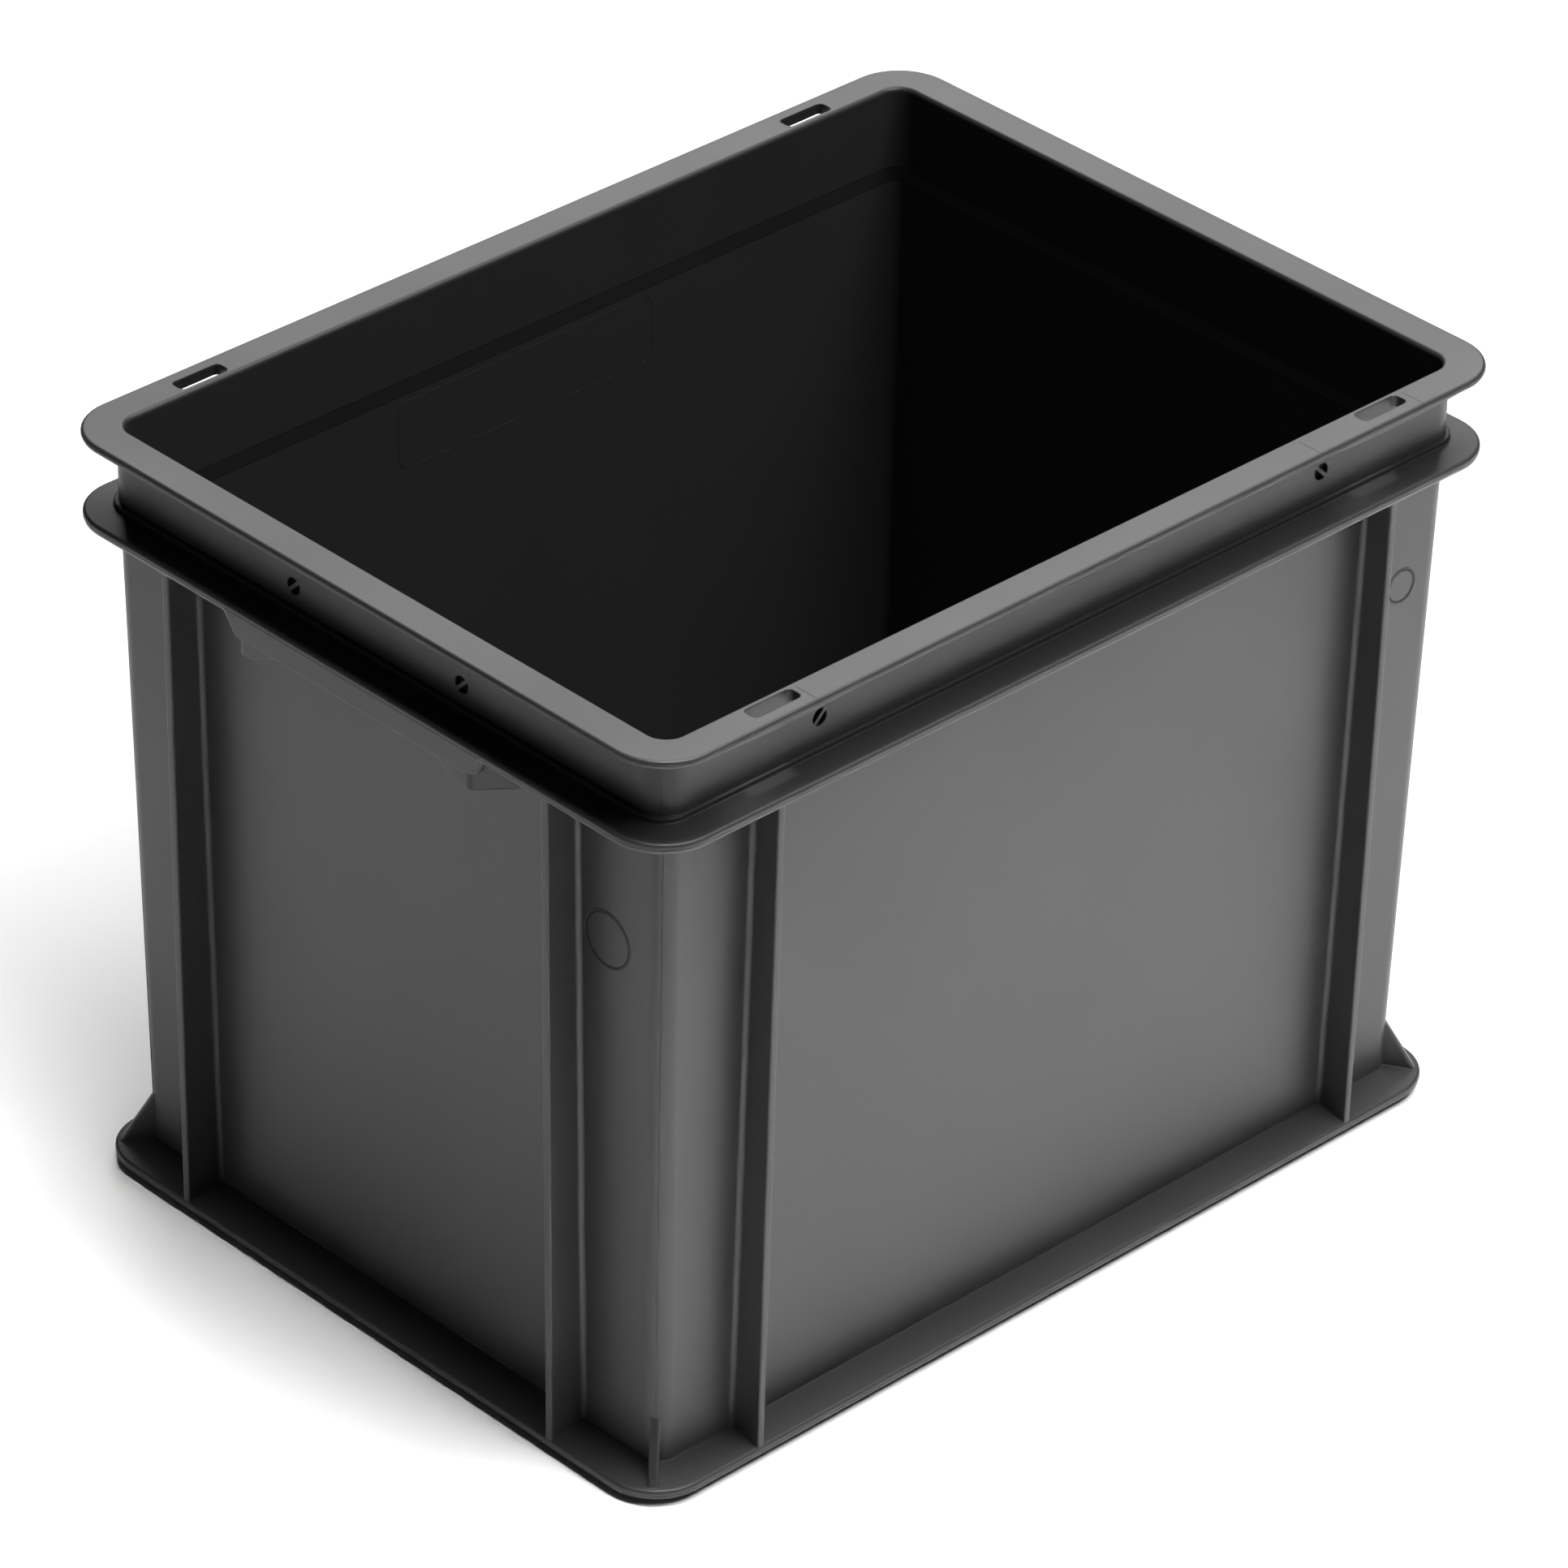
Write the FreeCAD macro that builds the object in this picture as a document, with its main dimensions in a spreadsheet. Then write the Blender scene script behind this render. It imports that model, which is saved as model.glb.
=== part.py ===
import FreeCAD, Part
import math
import os

import Sketcher

NODE = "container"

# Sizes of the moulding in mm. X runs along the long side, Y along the short side, Z up.
# A side wall is on a long side and faces Y; an end wall is on a short side and faces X.
SIZES = (
    # The whole container, measured over the outer edges of the rim.
    ("rim_length", 400.0),
    ("rim_width", 300.0),
    ("overall_height", 300.0),
    # Rim, and the edges that all three flanges share.
    ("rim_corner", 21.0),
    ("rim_thick", 2.8),
    ("upper_round", 1.2),
    ("lower_slope", 0.5),
    ("parting_share", 0.4),
    # Neck between the rim and the second flange, set in from the rim all round.
    ("end_neck_inset", 12.5),
    ("side_neck_inset", 11.5),
    ("neck_wall", 2.5),
    ("neck_height", 28.0),
    ("neck_corner", 10.0),
    ("mouth_round", 1.6),
    # Second flange: flush with the rim, sloped on top, with a low skirt band at the neck.
    ("flange_drop", 7.0),
    ("flange_edge", 3.5),
    ("flange_rise", 1.5),
    ("skirt_out", 0.8),
    ("skirt_slope", 0.3),
    # Drafted wall: set in from the rim at the top, and leaning in towards the base.
    ("end_wall_inset", 14.2),
    ("side_wall_inset", 12.5),
    ("end_wall_lean", 5.4),
    ("side_wall_lean", 4.7),
    ("wall_corner", 6.6),
    ("wall_thick", 2.4),
    ("floor_thick", 3.0),
    ("floor_chamfer", 3.0),
    ("inner_step_drop", 4.5),
    ("inner_step_rise", 5.0),
    # Base flange that rests on the rim of the container below, and the foot under it.
    ("end_base_inset", 4.3),
    ("side_base_inset", 3.5),
    ("base_corner", 21.0),
    ("base_edge", 3.4),
    ("base_rise", 2.6),
    ("foot_depth", 3.0),
    ("foot_clearance", 2.0),
    ("foot_chamfer", 1.0),
    # Upright ribs, all at one distance from the corner of the rim.
    ("rib_end_gap", 53.8),
    ("side_rib_thick", 2.8),
    ("end_rib_thick", 3.2),
    ("rib_setback_top", 0.7),
    ("rib_setback_foot", 0.4),
    ("rib_root_round", 2.0),
    ("rib_edge_round", 0.6),
    ("rib_head_round", 3.0),
    ("rib_tail_round", 1.5),
    # Webs on the diagonals at the foot of the corners.
    ("gusset_thick", 3.4),
    ("gusset_height", 19.0),
    ("gusset_edge_gap", 1.6),
    ("gusset_edge_round", 1.0),
    # Slots near the ends of the side rims, and the thicker rim around each.
    ("slot_length", 21.0),
    ("slot_end_gap", 46.6),
    ("slot_edge_gap", 5.2),
    ("slot_corner", 2.0),
    ("pad_length", 76.0),
    ("pad_thick", 1.25),
    ("pad_setback", 0.9),
    # Grips on the end walls: a band that bends back to the wall, with a lip on its upper half
    # whose ends flare towards the flange and fold back into the bends.
    ("lip_length", 114.4),
    ("lip_drop", 7.2),
    ("lip_thick", 2.0),
    ("lip_flare", 7.8),
    ("lip_fold_low", 4.0),
    ("lip_fold_high", 1.4),
    ("lip_end_round", 2.5),
    ("lip_tail_low", 5.5),
    ("lip_tail_high", 11.0),
    ("band_drop", 14.6),
    ("band_thick", 2.4),
    ("band_length", 115.0),
    ("band_return", 11.0),
    ("band_bend_round", 4.0),
    ("hand_length", 73.0),
    ("hand_slope", 15.0),
    ("hand_round", 6.0),
    # Round sunk marks in the neck, each with a diagonal bar left standing across it.
    ("mark_diameter", 6.3),
    ("mark_depth", 1.5),
    ("mark_bar", 1.5),
    ("side_mark_end_gap", 81.7),
    ("side_mark_drop", 16.8),
    ("end_mark_end_gap", 108.2),
    ("end_mark_drop", 20.6),
)


class Size:
    """A length in mm together with the sheet expression that drives it."""

    def __init__(self, value, text):
        self.value = float(value)
        self.text = text

    def __add__(self, other):
        other = as_size(other)
        return Size(self.value + other.value, "(" + self.text + " + " + other.text + ")")

    def __sub__(self, other):
        other = as_size(other)
        return Size(self.value - other.value, "(" + self.text + " - " + other.text + ")")

    def __mul__(self, other):
        other = as_size(other)
        return Size(self.value * other.value, "(" + self.text + " * " + other.text + ")")

    def __truediv__(self, other):
        other = as_size(other)
        return Size(self.value / other.value, "(" + self.text + " / " + other.text + ")")

    def __neg__(self):
        return Size(-self.value, "(-1 * " + self.text + ")")


def as_size(item):
    if isinstance(item, Size):
        return item
    return Size(item, str(float(item)))


doc = FreeCAD.newDocument("stacking_container")
sheet = doc.addObject("Spreadsheet::Sheet", "dims")
dim = {}
for row, (alias, value) in enumerate(SIZES, start=1):
    sheet.set("A" + str(row), alias)
    sheet.set("B" + str(row), str(value))
    sheet.setAlias("B" + str(row), alias)
    dim[alias] = Size(value, "dims." + alias)
doc.recompute()

body = doc.addObject("PartDesign::Body", NODE)
body.Label = NODE
planes = {item.Role: item for item in body.Origin.OriginFeatures}
FLAT = planes["XY_Plane"]
FRONT = planes["XZ_Plane"]
SIDE = planes["YZ_Plane"]

HORIZONTAL_AXIS = -1
VERTICAL_AXIS = -2
ORIGIN = -1
START, END, CENTRE = 1, 2, 3

# Allowances in mm for finding faces and edges, and the share that counts as nearly all.
SAME_PLACE = 0.01
SAME_WALL = 1.0
NEARLY_ALL = 0.9


def open_sketch(name, plane, offset):
    """A sketch on an origin plane, moved along the plane's normal."""
    sketch = body.newObject("Sketcher::SketchObject", name)
    sketch.AttachmentSupport = (plane, [""])
    sketch.MapMode = "FlatFace"
    offset = as_size(offset)
    sketch.AttachmentOffset = FreeCAD.Placement(
        FreeCAD.Vector(0, 0, offset.value), FreeCAD.Rotation()
    )
    sketch.setExpression("AttachmentOffset.Base.z", offset.text)
    return sketch


def pin(sketch, geometry, position, along_x, place):
    """Fix one coordinate of a point to a size from the sheet."""
    kind = "DistanceX" if along_x else "DistanceY"
    place = as_size(place)
    if abs(place.value) < SAME_PLACE:
        axis = VERTICAL_AXIS if along_x else HORIZONTAL_AXIS
        sketch.addConstraint(Sketcher.Constraint("PointOnObject", geometry, position, axis))
        return
    if place.value > 0:
        ends = (ORIGIN, START, geometry, position)
    else:
        ends = (geometry, position, ORIGIN, START)
        place = -place
    number = sketch.addConstraint(Sketcher.Constraint(kind, *ends, place.value))
    sketch.setExpression("Constraints[" + str(number) + "]", place.text)


def outline(sketch, corners):
    """A closed outline through corners (x, y) or rounded corners (x, y, radius)."""
    points = []
    for corner in corners:
        points.append(FreeCAD.Vector(as_size(corner[0]).value, as_size(corner[1]).value, 0))
    radii = [corner[2] if len(corner) > 2 else None for corner in corners]
    count = len(points)
    ways = [(points[(i + 1) % count] - points[i]).normalize() for i in range(count)]
    trims = []
    for i in range(count):
        if radii[i] is None:
            trims.append(0.0)
            continue
        half_turn = ways[i - 1].getAngle(ways[i]) / 2
        trims.append(radii[i].value * math.tan(half_turn))
    lines = []
    for i in range(count):
        after = (i + 1) % count
        first = points[i] + ways[i] * trims[i]
        last = points[after] - ways[i] * trims[after]
        lines.append(sketch.addGeometry(Part.LineSegment(first, last), False))
    for i in range(count):
        before = lines[i - 1]
        line = lines[i]
        x_place, y_place = corners[i][0], corners[i][1]
        if radii[i] is None:
            sketch.addConstraint(Sketcher.Constraint("Coincident", before, END, line, START))
            pin(sketch, line, START, True, x_place)
            pin(sketch, line, START, False, y_place)
            continue
        arc, turns_left = corner_arc(points[i], ways[i - 1], ways[i], trims[i], radii[i].value)
        arc = sketch.addGeometry(arc, False)
        arc_in, arc_out = (START, END) if turns_left else (END, START)
        sketch.addConstraint(Sketcher.Constraint("Tangent", before, END, arc, arc_in))
        sketch.addConstraint(Sketcher.Constraint("Tangent", line, START, arc, arc_out))
        number = sketch.addConstraint(Sketcher.Constraint("Radius", arc, radii[i].value))
        sketch.setExpression("Constraints[" + str(number) + "]", radii[i].text)
        point = sketch.addGeometry(Part.Point(points[i]), True)
        sketch.addConstraint(Sketcher.Constraint("PointOnObject", point, START, before))
        sketch.addConstraint(Sketcher.Constraint("PointOnObject", point, START, line))
        pin(sketch, point, START, True, x_place)
        pin(sketch, point, START, False, y_place)
    return sketch


def corner_arc(point, way_in, way_out, trim, radius):
    """The arc that rounds a corner, and whether the outline turns left there."""
    turns_left = way_in.cross(way_out).z > 0
    side = FreeCAD.Vector(-way_in.y, way_in.x, 0) * (1 if turns_left else -1)
    first = point - way_in * trim
    last = point + way_out * trim
    centre = first + side * radius
    start_angle = math.atan2(first.y - centre.y, first.x - centre.x)
    end_angle = math.atan2(last.y - centre.y, last.x - centre.x)
    if not turns_left:
        start_angle, end_angle = end_angle, start_angle
    circle = Part.Circle(centre, FreeCAD.Vector(0, 0, 1), radius)
    return Part.ArcOfCircle(circle, start_angle, end_angle), turns_left


def rectangle(half_x, half_y, *corner):
    """Corners of a rectangle centred on the axis of the container."""
    return (
        (half_x, half_y, *corner),
        (-half_x, half_y, *corner),
        (-half_x, -half_y, *corner),
        (half_x, -half_y, *corner),
    )


def pad(name, sketch, length, flipped=False):
    feature = body.newObject("PartDesign::Pad", name)
    feature.Profile = sketch
    feature.Reversed = flipped
    feature.setExpression("Length", as_size(length).text)
    return feature


def pocket(name, sketch, length, flipped=False):
    feature = body.newObject("PartDesign::Pocket", name)
    feature.Profile = sketch
    feature.Reversed = flipped
    feature.setExpression("Length", as_size(length).text)
    return feature


def draft(name, before, axis, lean):
    """Lean the faces of a block that look along one axis outwards from its underside."""
    doc.recompute()
    faces = []
    for number, face in enumerate(before.Shape.Faces, start=1):
        if abs(getattr(face.normalAt(0, 0), axis)) > NEARLY_ALL:
            faces.append("Face" + str(number))
        if abs(face.BoundBox.ZMax - before.Shape.BoundBox.ZMin) < SAME_PLACE:
            underside = "Face" + str(number)
    feature = body.newObject("PartDesign::Draft", name)
    feature.Base = (before, faces)
    feature.NeutralPlane = (before, [underside])
    feature.Reversed = True
    rise = flange_under - base_under
    feature.setExpression("Angle", "atan(" + (lean / rise).text + ")")
    return feature


def round_edges(name, before, radius, wanted):
    """Round the edges of a feature whose bounding box the test wants."""
    doc.recompute()
    names = []
    for number, edge in enumerate(before.Shape.Edges, start=1):
        if wanted(edge.BoundBox):
            names.append("Edge" + str(number))
    feature = body.newObject("PartDesign::Fillet", name)
    feature.Base = (before, names)
    feature.setExpression("Radius", radius.text)
    return feature


def loft(kind, name, sketches):
    feature = body.newObject("PartDesign::" + kind, name)
    feature.Profile = sketches[0]
    feature.Sections = sketches[1:]
    feature.Ruled = True
    return feature


def ring(name, profile, path):
    """A moulding edge: one profile swept round a closed path."""
    feature = body.newObject("PartDesign::AdditivePipe", name)
    feature.Profile = profile
    feature.Spine = (path, [])
    feature.Mode = "Standard"
    feature.Transition = "Transformed"
    return feature


def mirrored(name, features, both=True):
    """Copies of features on the other long side, or on all four quarters."""
    feature = body.newObject("PartDesign::MultiTransform", name)
    feature.Originals = features
    halves = []
    mirror_planes = (SIDE, FRONT) if both else (SIDE,)
    for number, plane in enumerate(mirror_planes, start=1):
        half = body.newObject("PartDesign::Mirrored", name + "_half" + str(number))
        half.MirrorPlane = (plane, [""])
        halves.append(half)
    feature.Transformations = halves
    body.Tip = feature
    return feature


# Heights above the underside of the foot.
rim_top = dim["overall_height"]
rim_under = rim_top - dim["rim_thick"]
crease = rim_top - dim["neck_height"]
flange_under = crease - dim["flange_drop"]
flange_edge_top = flange_under + dim["flange_edge"]
flange_core = flange_under + dim["flange_edge"] / 2
base_under = dim["foot_depth"]
base_edge_top = base_under + dim["base_edge"]
wall_foot = base_edge_top + dim["base_rise"]

# Half sizes in plan: x to an end, y to a side.
rim_x = dim["rim_length"] / 2
rim_y = dim["rim_width"] / 2
neck_x = rim_x - dim["end_neck_inset"]
neck_y = rim_y - dim["side_neck_inset"]
opening_x = neck_x - dim["neck_wall"]
opening_y = neck_y - dim["neck_wall"]
opening_corner = dim["neck_corner"] - dim["neck_wall"]
wall_top_x = rim_x - dim["end_wall_inset"]
wall_top_y = rim_y - dim["side_wall_inset"]
wall_foot_x = wall_top_x - dim["end_wall_lean"]
wall_foot_y = wall_top_y - dim["side_wall_lean"]
base_x = rim_x - dim["end_base_inset"]
base_y = rim_y - dim["side_base_inset"]

# The wall as a solid block, drafted outwards from its foot to the second flange.
block = pad(
    "wall_block",
    outline(open_sketch("wall_foot_outline", FLAT, base_under), rectangle(wall_foot_x, wall_foot_y)),
    flange_core - base_under,
)
side_faces = draft("side_draft", block, "y", dim["side_wall_lean"])
drafted_block = draft("end_draft", side_faces, "x", dim["end_wall_lean"])

# Upright ribs: plates from the wall out to the edges of both flanges.
rib_far_x = rim_x - dim["rib_end_gap"]
rib_far_y = rim_y - dim["rib_end_gap"]
rib_near_x = rib_far_x - dim["side_rib_thick"]
rib_near_y = rib_far_y - dim["end_rib_thick"]


def rib(name, plane, near, thick, wall, base_edge, top_edge):
    """A rib seen from its flat side, standing on the edge of the base flange."""
    root = wall - dim["wall_thick"] / 2
    corners = (
        (root, base_under),
        (base_edge - dim["rib_setback_foot"], base_under),
        (top_edge - dim["rib_setback_top"], flange_core),
        (root, flange_core),
    )
    return pad(name, outline(open_sketch(name + "_outline", plane, near), corners), thick)


side_rib = rib(
    "side_rib", SIDE, rib_near_x, dim["side_rib_thick"], wall_foot_y, base_y, rim_y
)
end_rib = rib("end_rib", FRONT, rib_near_y, dim["end_rib_thick"], wall_foot_x, base_x, rim_x)
ribbed_block = mirrored("ribs", [side_rib, end_rib])

# Round the upright edges: corners of the block, roots of the ribs and outer edges of the ribs.
upright = (flange_core - base_under).value * NEARLY_ALL
wall_middle_x = (wall_foot_x + wall_top_x).value / 2
wall_middle_y = (wall_foot_y + wall_top_y).value / 2


def lies_on(edge_box):
    """Whether an upright edge lies on an end wall and whether it lies on a side wall."""
    on_end = abs(abs(edge_box.Center.x) - wall_middle_x) < SAME_WALL
    on_side = abs(abs(edge_box.Center.y) - wall_middle_y) < SAME_WALL
    return on_end, on_side


def is_corner(edge_box):
    return edge_box.ZLength > upright and all(lies_on(edge_box))


def is_rib_root(edge_box):
    return edge_box.ZLength > upright and sum(lies_on(edge_box)) == 1


def is_rib_edge(edge_box):
    return edge_box.ZLength > upright and not any(lies_on(edge_box))


rounded_roots = round_edges("rib_roots", ribbed_block, dim["rib_root_round"], is_rib_root)
rounded_ribs = round_edges("rib_edges", rounded_roots, dim["rib_edge_round"], is_rib_edge)
round_edges("wall_corners", rounded_ribs, dim["wall_corner"], is_corner)

# Neck between the second flange and the rim.
neck_outline = outline(
    open_sketch("neck_outline", FLAT, flange_under),
    rectangle(neck_x, neck_y, dim["neck_corner"]),
)
pad("neck", neck_outline, rim_top - flange_under)


def ring_path(name, height, half_x, half_y, corner):
    """A closed rounded rectangle that starts at the middle of the +X side."""
    start = (half_x, Size(0, "0"))
    corners = rectangle(half_x, half_y, corner)
    return outline(open_sketch(name, FLAT, height), (start, *corners))


def flange_edge(face, under, top):
    """Outer edge of a flange: sloped below the parting line, upright and rounded above it."""
    parting = under + (top - under) * dim["parting_share"]
    return (
        (face - dim["lower_slope"], under),
        (face, parting),
        (face, top, dim["upper_round"]),
    )


# Rim: a flat band round the top.
rim_root = neck_x - dim["neck_wall"] / 4
rim_profile = outline(
    open_sketch("rim_profile", FRONT, 0),
    ((rim_root, rim_under), *flange_edge(rim_x, rim_under, rim_top), (rim_root, rim_top)),
)
rim_path = ring_path("rim_path", rim_top, rim_x, rim_y, dim["rim_corner"])
ring("rim", rim_profile, rim_path)

# Second flange: sloped on top, with a low skirt band that stands out from the neck.
skirt_x = rim_x - dim["side_neck_inset"] + dim["skirt_out"]
flange_root = wall_top_x - dim["wall_thick"] / 2
flange_profile = outline(
    open_sketch("flange_profile", FRONT, 0),
    (
        (flange_root, flange_under),
        *flange_edge(rim_x, flange_under, flange_edge_top),
        (skirt_x, flange_edge_top + dim["flange_rise"]),
        (skirt_x, crease - dim["skirt_slope"]),
        (neck_x, crease),
        (flange_root, crease),
    ),
)
flange_path = ring_path("flange_path", flange_under, rim_x, rim_y, dim["rim_corner"])
ring("second_flange", flange_profile, flange_path)

# Base flange: sloped up to the foot of the wall.
base_root = wall_foot_x - dim["wall_thick"] / 2
base_profile = outline(
    open_sketch("base_profile", FRONT, 0),
    (
        (base_root, base_under),
        *flange_edge(base_x, base_under, base_edge_top),
        (wall_foot_x, wall_foot),
        (base_root, wall_foot),
    ),
)
base_path = ring_path("base_path", base_under, base_x, base_y, dim["base_corner"])
ring("base_flange", base_profile, base_path)

# Foot that drops into the opening of the container below.
foot_x = opening_x - dim["foot_clearance"]
foot_y = opening_y - dim["foot_clearance"]
foot_corner = opening_corner - dim["foot_clearance"]
foot_chamfer = dim["foot_chamfer"]
foot_tip = outline(
    open_sketch("foot_tip", FLAT, 0),
    rectangle(foot_x - foot_chamfer, foot_y - foot_chamfer, foot_corner - foot_chamfer),
)
foot_edge = outline(
    open_sketch("foot_edge", FLAT, foot_chamfer), rectangle(foot_x, foot_y, foot_corner)
)
loft("AdditiveLoft", "foot_tread", [foot_tip, foot_edge])
foot_root = outline(
    open_sketch("foot_outline", FLAT, foot_chamfer), rectangle(foot_x, foot_y, foot_corner)
)
pad("foot", foot_root, base_under - foot_chamfer)

# Corner gussets: webs on the diagonals that slope down to the corner of the base flange.
DIAGONAL = math.sqrt(0.5)
EIGHTH_TURN = 45.0
GUSSET_ROOT = 1.5
gusset_sketch = open_sketch("gusset_outline", FRONT, 0)
gusset_x = base_x - dim["base_corner"] - dim["gusset_thick"] / 2 * DIAGONAL
gusset_y = base_y - dim["base_corner"] + dim["gusset_thick"] / 2 * DIAGONAL
gusset_sketch.AttachmentOffset = FreeCAD.Placement(
    FreeCAD.Vector(gusset_x.value, 0, -gusset_y.value),
    FreeCAD.Rotation(FreeCAD.Vector(0, 1, 0), EIGHTH_TURN),
)
gusset_sketch.setExpression("AttachmentOffset.Base.x", gusset_x.text)
gusset_sketch.setExpression("AttachmentOffset.Base.z", (-gusset_y).text)
gusset_heel = dim["wall_corner"] - dim["wall_thick"] * GUSSET_ROOT
gusset_tip = dim["base_corner"] - dim["gusset_edge_gap"]
gusset_top = wall_foot + dim["gusset_height"]
outline(
    gusset_sketch,
    (
        (gusset_heel, base_under + dim["base_edge"] / 2),
        (gusset_tip, base_under + dim["base_edge"] / 2),
        (gusset_tip, base_edge_top),
        (dim["wall_corner"], gusset_top),
        (gusset_heel, gusset_top),
    ),
)
gusset = pad("gusset", gusset_sketch, dim["gusset_thick"])

# Heads of the ribs: rounded into the underside of the second flange. SINK is how deep in mm
# added material reaches into what it joins.
SINK = 0.2


def rib_head(name, plane, near, far, wall_top, edge):
    """Fills the corners between a rib and the flange, the larger one towards the middle."""
    under = flange_under + SINK
    large = dim["rib_head_round"]
    small = dim["rib_tail_round"]
    root = wall_top - dim["wall_thick"] / 2
    reach = edge - dim["rib_setback_top"] - dim["rib_edge_round"] - root
    low = under - large - SINK
    corners = (
        (near - large, flange_core),
        (near - large, under),
        (near + SINK, under, large),
        (near + SINK, low),
        (far - SINK, low),
        (far - SINK, under, small),
        (far + small, under),
        (far + small, flange_core),
    )
    return pad(name, outline(open_sketch(name + "_outline", plane, root), corners), reach)


side_head = rib_head("side_rib_head", FRONT, rib_near_x, rib_far_x, wall_top_y, rim_y)
end_head = rib_head("end_rib_head", SIDE, rib_near_y, rib_far_y, wall_top_x, rim_x)

# Thicker rim around each slot: its underside bulges down in a shallow arc.
slot_end_x = rim_x - dim["slot_end_gap"]
slot_middle = slot_end_x - dim["slot_length"] / 2
pad_half = dim["pad_length"] / 2
pad_core = rim_under + dim["rim_thick"] / 2

# The radius of a shallow arc is its chord squared over eight times its depth, and slightly less
# leaves short straight ends.
PAD_ARC_SHARE = 8.5
pad_radius = dim["pad_length"] * dim["pad_length"] / (dim["pad_thick"] * PAD_ARC_SHARE)
pad_root = neck_y - dim["neck_wall"] / 4
pad_edge = rim_y - dim["pad_setback"]
pad_profile = outline(
    open_sketch("slot_pad_outline", FRONT, pad_root),
    (
        (slot_middle - pad_half, pad_core),
        (slot_middle - pad_half, rim_under),
        (slot_middle, rim_under - dim["pad_thick"] * 2, pad_radius),
        (slot_middle + pad_half, rim_under),
        (slot_middle + pad_half, pad_core),
    ),
)
slot_pad = pad("slot_pad", pad_profile, pad_edge - pad_root)
quarters = mirrored("quarters", [gusset, side_head, end_head, slot_pad])


def is_gusset_edge(edge_box):
    diagonal = abs(edge_box.XLength - edge_box.YLength) < SAME_PLACE
    wide = edge_box.XLength > dim["base_corner"].value / 4
    tall = edge_box.ZLength > dim["gusset_height"].value / 2
    return diagonal and wide and tall


round_edges("gusset_edges", quarters, dim["gusset_edge_round"], is_gusset_edge)

# Grips on the end walls. The band stands off the wall and bends back to it at both ends;
# the lip thickens its upper half and is flush with the flange above.
# The inside of a bend is shorter than its outside by these shares of the thickness.
BACK_LEAD = 0.4
BACK_RUN = 1.3
band_face = rim_x - dim["lip_thick"]
band_back = band_face - dim["band_thick"]
band_core = band_face - dim["band_thick"] / 2
band_root = wall_top_x - dim["wall_thick"] / 2
band_half = dim["band_length"] / 2
band_foot_half = band_half + dim["band_return"]
back_half = band_half - dim["band_thick"] * BACK_LEAD
back_foot_half = band_foot_half - dim["band_thick"] * BACK_RUN
band_low = flange_under - dim["band_drop"]
lip_low = flange_under - dim["lip_drop"]
band_plan = outline(
    open_sketch("grip_band_plan", FLAT, band_low),
    (
        (band_root, -band_foot_half),
        (band_face, -band_half, dim["band_bend_round"]),
        (band_face, band_half, dim["band_bend_round"]),
        (band_root, band_foot_half),
        (band_root, back_foot_half),
        (band_back, back_half, dim["rib_edge_round"]),
        (band_back, -back_half, dim["rib_edge_round"]),
        (band_root, -back_foot_half),
    ),
)
band = pad("grip_band", band_plan, flange_core - band_low)
hand_half = dim["hand_length"] / 2
hand_foot_half = hand_half + dim["hand_slope"]
hand_round = dim["hand_round"]
hand_profile = outline(
    open_sketch("grip_hand_outline", SIDE, (band_root + band_back) / 2),
    (
        (-band_half, band_low - dim["lip_drop"]),
        (band_half, band_low - dim["lip_drop"]),
        (band_half, band_low),
        (hand_foot_half, band_low, hand_round),
        (hand_half, lip_low, hand_round),
        (-hand_half, lip_low, hand_round),
        (-hand_foot_half, band_low, hand_round),
        (-band_half, band_low),
    ),
)
hand = pocket("grip_hand_notch", hand_profile, dim["band_drop"], True)


def lip_section(name, height, half, fold, tail):
    """The lip in plan: its ends fold back and run into the bends of the band."""
    tail_x = rim_x - tail
    bend_share = (band_face - tail_x) / (band_face - band_root)
    tail_half = band_half + dim["band_return"] * bend_share - SINK * 2
    corners = (
        (tail_x, -tail_half),
        (band_face, -(half + fold), dim["rib_edge_round"]),
        (rim_x, -half, dim["lip_end_round"]),
        (rim_x, half, dim["lip_end_round"]),
        (band_face, half + fold, dim["rib_edge_round"]),
        (tail_x, tail_half),
        (band_core, back_half),
        (band_core, -back_half),
    )
    return outline(open_sketch(name, FLAT, height), corners)


lip_half = dim["lip_length"] / 2
lip_sections = [
    lip_section("grip_lip_low", lip_low, lip_half, dim["lip_fold_low"], dim["lip_tail_low"]),
    lip_section(
        "grip_lip_high",
        flange_core,
        lip_half + dim["lip_flare"],
        dim["lip_fold_high"],
        dim["lip_tail_high"],
    ),
]
lip = loft("AdditiveLoft", "grip_lip", lip_sections)
mirrored("grips", [band, hand, lip], False)

# Cavity: drafted inside of the wall above a chamfered floor, then a sloped step.
step_top = crease - dim["inner_step_drop"]
step_foot = step_top - dim["inner_step_rise"]
floor_chamfer = dim["floor_chamfer"]
inner_corner = dim["wall_corner"] - dim["wall_thick"]


def cavity_section(name, height, narrower=0):
    """Inside of the drafted wall at some height, made narrower by a chamfer."""
    share = (height - base_under) / (flange_under - base_under)
    inset = dim["wall_thick"] + narrower
    half_x = wall_foot_x + dim["end_wall_lean"] * share - inset
    half_y = wall_foot_y + dim["side_wall_lean"] * share - inset
    sketch = open_sketch(name, FLAT, height)
    return outline(sketch, rectangle(half_x, half_y, inner_corner))


cavity_sections = [
    cavity_section("cavity_floor", dim["floor_thick"], floor_chamfer),
    cavity_section("cavity_floor_edge", dim["floor_thick"] + floor_chamfer),
    cavity_section("cavity_step_foot", step_foot),
    outline(
        open_sketch("cavity_step_top", FLAT, step_top),
        rectangle(opening_x, opening_y, opening_corner),
    ),
]
loft("SubtractiveLoft", "cavity", cavity_sections)

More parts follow.
